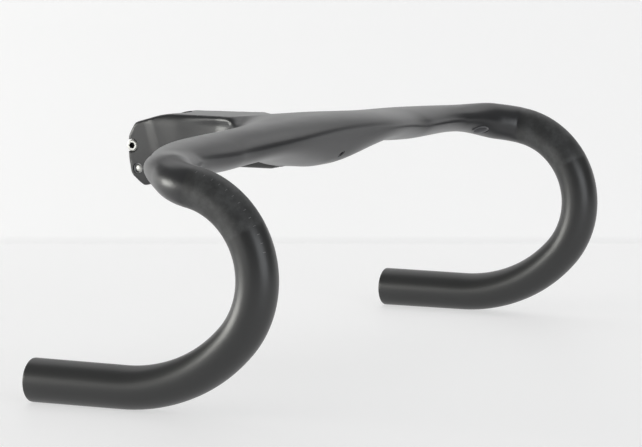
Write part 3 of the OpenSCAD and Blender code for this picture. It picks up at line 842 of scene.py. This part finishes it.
def knurlTree():
    # ridges round a screw head: a bar copied round a circle
    tree, start, end = newTree("headKnurl", [
        ("Ridges", "NodeSocketInt"), ("Head Radius", "NodeSocketFloat"), ("Ridge Width", "NodeSocketFloat"),
        ("Ridge Length", "NodeSocketFloat"), ("Material", "NodeSocketMaterial")])
    circle = tree.nodes.new("GeometryNodeMeshCircle")
    box = tree.nodes.new("GeometryNodeMeshCube")
    size = tree.nodes.new("ShaderNodeCombineXYZ")
    link = tree.links.new
    link(start.outputs["Ridges"], circle.inputs["Vertices"])
    link(start.outputs["Head Radius"], circle.inputs["Radius"])
    link(start.outputs["Ridge Width"], size.inputs[0])
    link(start.outputs["Ridge Width"], size.inputs[1])
    link(start.outputs["Ridge Length"], size.inputs[2])
    link(size.outputs[0], box.inputs["Size"])
    placeBoxes(tree, start, end, circle.outputs["Mesh"], box.outputs["Mesh"])
    return tree


def runTree(name, tree, values):
    mesh = bpy.data.meshes.new(name + "Start")
    holder = bpy.data.objects.new(name + "Holder", mesh)
    bpy.context.scene.collection.objects.link(holder)
    modifier = holder.modifiers.new("nodes", "NODES")
    modifier.node_group = tree
    for item in tree.interface.items_tree:
        if item.in_out == "INPUT" and item.name in values:
            modifier[item.identifier] = values[item.name]
    bpy.context.view_layer.update()
    done = bpy.data.meshes.new_from_object(holder.evaluated_get(bpy.context.evaluated_depsgraph_get()))
    bpy.data.objects.remove(holder)
    return done


knurl = knurlTree()


def addKnurl(obj, side):
    size = clampBolt
    headX = stem["seatX"] + stem["washer"]
    low, high = headX + 0.5, headX + size["headH"] - size["chamfer"] - 0.5
    mesh = runTree("knurl", knurl, {"Ridges": size["ridges"], "Head Radius": (size["headD"] / 2 - 0.12) * mm,
                                    "Ridge Width": 0.32 * mm, "Ridge Length": (high - low) * mm,
                                    "Material": finish["boltSteel"]})
    spot = boltSpot(side)
    spin = Vector((side, 0, 0)).to_track_quat("Z", "Y").to_matrix().to_4x4()
    rise = Matrix.Translation((0, 0, (low + high) / 2 * mm))
    mesh.transform(Matrix.Translation(Vector(spot * mm)) @ spin @ rise)
    work = bmesh.new()
    work.from_mesh(obj.data)
    work.from_mesh(mesh)
    work.to_mesh(obj.data)
    work.free()


def makeWasher(name, side):
    x, r, hole, thick = stem["seatX"], washer["r"], washer["hole"], stem["washer"]
    rings = latheRings([(hole, x), (r - 0.15, x), (r, x + 0.15), (r, x + thick - 0.25), (r - 0.25, x + thick),
                        (hole + 0.15, x + thick), (hole, x + thick - 0.15), (hole, x)], 72)
    points, faces = turnRings(rings, 72)
    spot = boltSpot(side)
    return placeMesh(name, alignTo(points, spot, (side, 0, 0)), faces, finish["boltSteel"], angle=30)


def makeNut(name, side):
    # barrel nut: a sleeve with two slots in its outer face
    r, hole, outX, half = nut["r"], nut["hole"], stem["nutOuterX"], nut["slotHalf"]
    inX = outX - stem["nutLength"]
    rings = latheRings([(hole, inX), (r - 0.2, inX), (r, inX + 0.2), (r, outX - 0.2), (r - 0.2, outX),
                        (r - 0.45, outX), (hole, outX - 0.9), (hole, inX)], 72)
    points, faces = turnRings(rings, 72)
    spot = boltSpot(side)
    obj = placeMesh(name, alignTo(points, spot, (-side, 0, 0)), faces, finish["nutSteel"], smooth=False)
    slotPoints = np.array([(x, y, z) for z in (outX - nut["slotDeep"], outX + 1) for x, y in
                           ((-6, -half), (6, -half), (6, half), (-6, half))], float)
    slotPoints = alignTo(slotPoints, spot, (-side, 0, 0), nut["slotTurn"])
    slotCut = placeMesh("slotCut", slotPoints, boxFaces, finish["nutSteel"], smooth=False)
    cutWith(obj, [slotCut])
    setSmooth(obj.data, 30)
    return obj


print("turning the bolts, washers and nuts")
for label, side in (("upper", -1), ("lower", 1)):
    bolt = makeClampBolt(f"clamp_bolt_{label}_turned", side)
    addKnurl(bolt, side)
    finishPiece(bolt, f"{label}_bolt", "bolt_steel", f"clamp_bolt_{label}")
    finishPiece(makeWasher(f"clamp_washer_{label}_turned", side), f"{label}_washer", "bolt_steel",
                f"clamp_washer_{label}")
    finishPiece(makeNut(f"clamp_nut_{label}_turned", side), "root", "nut_steel", f"clamp_nut_{label}")


def makeCoverScrew(name, y):
    size = coverScrew
    r = size["headD"] / 2
    steps = 64
    rings = latheRings([(0.05, 0), (r - 0.5, 0), (r - 0.12, 0.14), (r, 0.4), (r, size["headH"] - 0.1),
                        (r - 0.1, size["headH"]), (size["d"] / 2, size["headH"])], steps)
    rings += threadedRings(size["length"] - size["headH"] - 0.7, size["d"] / 2, size["pitch"], size["depth"],
                           steps, size["headH"] + 0.3)
    rings += latheRings([(size["d"] / 2 - 0.4, size["length"]), (0.05, size["length"])], steps)
    points, faces = turnRings(rings, steps, True, True)
    spot = np.array([0, y, stem["bellyZ"]])
    obj = placeMesh(name, points + spot, faces, finish["screwBlack"], smooth=False)
    # the socket's walls take the near-black painted shade, darker than the screw's own black
    socket = hexPlug("socketCut", size["hex"], -size["socket"], -0.15, spot, (0, 0, -1), finish["socketPaintedShade"])
    cutWith(obj, [socket])
    setSmooth(obj.data, 30)
    return obj


def makeCover():
    size = cover
    z = stem["bellyZ"]
    hx, hy = size["halfX"], (size["rearY"] - size["frontY"]) / 2
    middle = np.array([0, (size["frontY"] + size["rearY"]) / 2])
    rings = []
    face = -size["proud"]
    for inset, height in ((0.0, size["thick"] - 0.05), (0.0, 0.2), (0.35, face * 0.35), (1.1, face * 0.65),
                          (2.3, face * 0.87), (4.0, face * 0.98), (6.0, face)):
        outline = roundedRectangle(hx - inset, hy - inset, max(size["corner"] - inset, 0.8), 8)
        rings.append(np.column_stack([outline + middle, np.full(len(outline), z + height)]))
    points, faces = turnRings(rings[::-1], len(rings[0]), True, True)
    obj = placeMesh("belly_cover_moulded", points, faces, finish["coverPlastic"], smooth=False)
    cutters = []
    for y in size["screwY"]:
        spot = np.array([0, y, z])
        cutters.append(roundPlug("screwCut", [(1.6, -6), (1.6, 4)], spot, (0, 0, 1),
                                 finish["coverPlastic"], 40))
        cutters.append(roundPlug("headCut", [(3.4, -6), (3.4, face + 0.4), (3.05, face + 0.8), (3.05, 1.6)],
                                 spot, (0, 0, 1), finish["coverPlastic"], 48))
    for k in range(-2, 3):      # finger grooves across the face
        y = middle[1] + k * 3.2
        cutters.append(boxPlug("grooveCut", (-6.5, y - 0.5, z + face - 2), (6.5, y + 0.5, z + face + 0.35),
                                finish["coverPlastic"], 0.45))
    cutWith(obj, cutters)
    setSmooth(obj.data, 32)
    return obj


def makeInsert(name, spot, out, outer, hole, length, material):
    # knurled threaded insert
    steps = 72
    angles = np.arange(steps)
    rings = []
    for r, z, knurled in ((hole, 0, 0), (outer - 0.2, 0, 0), (outer, 0.2, 1), (outer, length * 0.42, 1),
                          (outer - 0.3, length * 0.46, 0), (outer - 0.3, length * 0.54, 0),
                          (outer, length * 0.58, 1), (outer, length - 0.2, 1), (outer - 0.2, length, 0),
                          (hole, length, 0)):
        ring = latheRings([(r, z)], steps)[0]
        if knurled:
            ring[:, :2] *= (1 - 0.06 * (angles % 3 == 0))[:, None]
        rings.append(ring)
    for z in np.linspace(length - 0.3, 0.3, int(length / 0.12)):
        r = hole + 0.16 * abs((z / 0.5) % 1.0 - 0.5)
        rings.append(latheRings([(r, z)], steps)[0])
    rings.append(latheRings([(hole, 0)], steps)[0])
    points, faces = turnRings(rings, steps)
    return placeMesh(name, alignTo(points, spot, out), faces, material, angle=28)


print("moulding the cover and its screws")
finishPiece(makeCover(), "cover", "cover_plastic", "belly_cover")
for label, y in zip(("front", "rear"), cover["screwY"]):
    finishPiece(makeCoverScrew(f"cover_screw_{label}_turned", y), f"{label}_screw", "screw_black",
                f"cover_screw_{label}")
    spot = np.array([0, y, stem["bellyZ"] + cover["thick"]])
    insert = makeInsert(f"cover_insert_{label}_turned", spot, (0, 0, 1), 2.48, 1.56, 6.0, finish["insertBrass"])
    finishPiece(insert, "root", "insert_brass", f"cover_insert_{label}")


def makeGrommet(name, spot, out, profile, stretch, material, along=None):
    points, faces = turnRings(latheRings(profile, 72, stretch), 72)
    work = placeMesh(name, alignTo(points, spot, out, 0.0, along), faces, material, smooth=False)
    tidy = bmesh.new()
    tidy.from_mesh(work.data)
    bmesh.ops.remove_doubles(tidy, verts=tidy.verts, dist=1e-7)
    bmesh.ops.recalc_face_normals(tidy, faces=tidy.faces)
    tidy.to_mesh(work.data)
    tidy.free()
    setSmooth(work.data, 40)
    return work


def lipProfile(outer, inner, depth, proud, lip):
    # rolled lip outside, sleeve through the wall, small bead inside
    rolled = [(outer + lip * math.sin(a), proud * (0.25 + 0.75 * math.cos(a)))
              for a in np.linspace(math.pi / 2, 0, 6)]
    mouth = [(inner + (outer - inner) * (1 - math.sin(a)) * 0.9, proud * math.cos(a) - 0.2)
             for a in np.linspace(0.3, math.pi / 2, 6)]
    return [(outer, -depth), (outer, -0.1)] + rolled + mouth + [(inner, -depth), (outer, -depth)]


print("fitting the port lips and the nose insert")
for label, side in (("right", -1), ("left", 1)):
    flip = np.array([side, 1, 1])
    lip = makeGrommet(f"{label}_port_lip", bendPort["spot"] * flip, bendPort["out"] * flip,
                      lipProfile(bendPort["r"] - 0.05, bendPort["r"] - 0.7, 3.6, 0.15, 0.15),
                      bendPort["stretch"], finish["portLip"], bendPort["along"] * flip)
    finishPiece(lip, "root", "port_lip", f"{label}_port_grommet")
stemLip = makeGrommet("stem_port_lip", (0, stemPort["y"], stem["bellyZ"] + 0.1), (0, 0, -1),
                      lipProfile(stemPort["r"] - 0.05, stemPort["r"] - 1.2, 5.6, 0.5, 0.9), (1, 1),
                      finish["portRubber"])
finishPiece(stemLip, "root", "port_rubber", "stem_port_grommet")
noseSpot = accessory["spot"] - accessory["out"] * 8.0
noseInsert = makeInsert("accessory_insert_turned", noseSpot, accessory["out"], 2.45, 1.5, 8.0,
                        finish["insertAlloy"])
finishPiece(noseInsert, "root", "insert_alloy", "accessory_insert")
for label in ("right", "left"):
    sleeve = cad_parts[f"{label}_joint_sleeve"]
    sleeve.data.materials.clear()
    sleeve.data.materials.append(finish["carbonInner"])


# angles in degrees: start up from straight ahead, and round the tube from its front to its outer side
leverMark = {"count": 13, "start": 16.0, "sweep": 58.0, "round": 32.0, "length": 1.5, "width": 0.28,
             "height": 0.06, "tubeAt": 30.0}


def arcMarkTree():
    # short marks laid square across an arc
    tree, start, end = newTree("arcMarks", [
        ("Marks", "NodeSocketInt"), ("Arc Radius", "NodeSocketFloat"), ("Start", "NodeSocketFloat"),
        ("Sweep", "NodeSocketFloat"), ("Mark Size", "NodeSocketVector"), ("Lean", "NodeSocketVector"),
        ("Material", "NodeSocketMaterial")])
    arc = tree.nodes.new("GeometryNodeCurveArc")
    box = tree.nodes.new("GeometryNodeMeshCube")
    lean = tree.nodes.new("GeometryNodeTransform")
    link = tree.links.new
    for label, socket in (("Marks", "Resolution"), ("Arc Radius", "Radius"), ("Start", "Start Angle"),
                          ("Sweep", "Sweep Angle")):
        link(start.outputs[label], arc.inputs[socket])
    link(start.outputs["Mark Size"], box.inputs["Size"])
    link(box.outputs["Mesh"], lean.inputs["Geometry"])
    link(start.outputs["Lean"], lean.inputs["Rotation"])
    placeBoxes(tree, start, end, arc.outputs["Curve"], lean.outputs[0])
    return tree


def makeLeverMarks(name, side, tree):
    # on the outer front of the hook; the arc's plane is turned so that its X runs forward and its Y up
    mark, tube = leverMark, hookRadius(leverMark["tubeAt"])
    ringR = dropTube["radii"][2] * dropTube["scale"]
    around = math.radians(mark["round"])
    mesh = runTree(name, tree, {"Marks": mark["count"], "Arc Radius": (ringR + tube * math.cos(around)) * mm,
                                "Start": math.radians(mark["start"]), "Sweep": math.radians(mark["sweep"]),
                                "Mark Size": (mark["height"] * mm, mark["width"] * mm, mark["length"] * mm),
                                "Lean": (0.0, -around, 0.0), "Material": finish["tickPrint"]})
    centreY = bar["seamY"] - ringR * math.sin(math.radians(-bar["seamTurn"]))
    centreZ = bar["seamZ"] - ringR * math.cos(math.radians(bar["seamTurn"]))
    spin = Matrix(((0, 0, side, 0), (-1, 0, 0, 0), (0, 1, 0, 0), (0, 0, 0, 1)))
    centreX = side * (bar["halfWidth"] + tube * math.sin(around))
    shift = Matrix.Translation(Vector((centreX, centreY, centreZ)) * mm)
    mesh.transform(shift @ spin)
    if side < 0:
        mesh.flip_normals()
    mesh.name = name
    obj = bpy.data.objects.new(name, mesh)
    bpy.context.scene.collection.objects.link(obj)
    return obj


print("printing the lever marks")
markTree = arcMarkTree()
for name, side in (("right_lever_marks", -1), ("left_lever_marks", 1)):
    finishPiece(makeLeverMarks(name, side, markTree), "root", "carbon_satin")


view = {"azimuth": -63.17, "elevation": 6.33, "distance": 1.9209, "lens": 185.02,
        "target": Vector((0.0, -0.09648, -0.04206)), "wallBehind": 0.565}
az, el = math.radians(view["azimuth"]), math.radians(view["elevation"])
back = Vector((math.sin(az) * math.cos(el), -math.cos(az) * math.cos(el), math.sin(el)))
away = Vector((-back.x, -back.y, 0)).normalized()
across = Vector((-away.y, away.x, 0))
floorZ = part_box("left_drop")[0].z


studioSize = {"floor": (6.0, 1.5), "wall": (0.2, 0.36), "half": 5.0, "fold": 0.006}   # metres from the fold


def seeThroughBack(material):
    # a view from behind or from below looks through the paper
    tree = material.node_tree
    facing = tree.nodes.new("ShaderNodeNewGeometry")
    clear = tree.nodes.new("ShaderNodeBsdfTransparent")
    mix = tree.nodes.new("ShaderNodeMixShader")
    tree.links.new(facing.outputs["Backfacing"], mix.inputs["Fac"])
    tree.links.new(tree.nodes["Principled BSDF"].outputs["BSDF"], mix.inputs[1])
    tree.links.new(clear.outputs["BSDF"], mix.inputs[2])
    tree.links.new(mix.outputs["Shader"], tree.nodes["Material Output"].inputs["Surface"])


def makeStudio():
    rows, sweep = [], studioSize["fold"]
    wall = Vector((view["target"].x, view["target"].y, 0)) + away * view["wallBehind"]
    for reach in studioSize["floor"]:
        rows.append((wall - away * reach, floorZ))
    for k in range(9):
        a = math.radians(90 * k / 8)
        rows.append((wall - away * sweep * (1 - math.sin(a)), floorZ + sweep * (1 - math.cos(a))))
    for height in studioSize["wall"]:
        rows.append((wall, floorZ + height))
    points = []
    for spot, z in rows:
        for side in (-studioSize["half"], studioSize["half"]):
            p = spot + across * side
            points.append((p.x / mm, p.y / mm, z / mm))
    faces = [(2 * i, 2 * i + 2, 2 * i + 3, 2 * i + 1) for i in range(len(rows) - 1)]
    paper = bpy.data.materials.new("studioPaper")
    paper.use_nodes = True
    shader = paper.node_tree.nodes["Principled BSDF"]
    shader.inputs["Base Color"].default_value = (0.42, 0.42, 0.42, 1)
    shader.inputs["Emission Color"].default_value = (1, 1, 1, 1)
    shader.inputs["Emission Strength"].default_value = 0.55
    shader.inputs["Roughness"].default_value = 0.55
    shader.inputs["Specular IOR Level"].default_value = 0.15
    seeThroughBack(paper)
    studio = placeMesh("studio_floor", np.array(points), faces, paper, angle=60)


def addPanel(name, spot, aim, size, power, colour=(1, 1, 1)):
    data = bpy.data.lights.new(name, "AREA")
    data.shape = "RECTANGLE"
    data.size, data.size_y = size
    data.energy = power
    data.color = colour
    lamp = bpy.data.objects.new(name, data)
    bpy.context.scene.collection.objects.link(lamp)
    lamp.location = spot
    lamp.rotation_euler = (Vector(aim) - Vector(spot)).to_track_quat("-Z", "Y").to_euler()
    return lamp


def makeSky(low, high):
    # a room that is dim at eye height and bright overhead
    world = bpy.data.worlds.new("studioWorld")
    world.use_nodes = True
    tree = world.node_tree
    coords = tree.nodes.new("ShaderNodeTexCoord")
    split = tree.nodes.new("ShaderNodeSeparateXYZ")
    tree.links.new(coords.outputs["Generated"], split.inputs[0])
    strength = addRange(tree, split.outputs["Z"], 0.25, 0.85, low, high)
    tree.links.new(strength, tree.nodes["Background"].inputs["Strength"])
    tree.nodes["Background"].inputs["Color"].default_value = (1.0, 1.0, 1.0, 1)
    return world


print("setting the floor, light and camera")
makeStudio()
bpy.context.scene.world = makeSky(0.19, 0.34)
aim = view["target"]
right = Vector((math.cos(az), math.sin(az), 0))
addPanel("topPanel", aim + Vector((0, 0, 1.5)) + away * 1.15, aim, (2.6, 1.3), 8)
addPanel("leftPanel", aim - right * 1.3 + back * 0.1 + Vector((0, 0, 0.10)), aim, (0.7, 0.34), 8,
         (1.0, 1.0, 0.95))
addPanel("leftFill", aim - right * 1.2 + back * 0.85 + Vector((0, 0, 0.05)), aim, (1.0, 0.5), 1.8,
         (1.0, 1.0, 0.97))
addPanel("rightPanel", aim + right * 0.95 + back * 1.3 + Vector((0, 0, 0.25)), aim, (1.0, 1.0), 8,
         (0.94, 0.97, 1.0))

cameraData = bpy.data.cameras.new("camera")
cameraData.lens = view["lens"]
cameraData.sensor_width = 36.0
cameraData.clip_end = 30.0
camera = bpy.data.objects.new("camera", cameraData)
bpy.context.scene.collection.objects.link(camera)
camera.location = view["target"] + back * view["distance"]
camera.rotation_euler = back.to_track_quat("Z", "Y").to_euler()
bpy.context.scene.camera = camera
bpy.context.scene.view_settings.view_transform = "Standard"
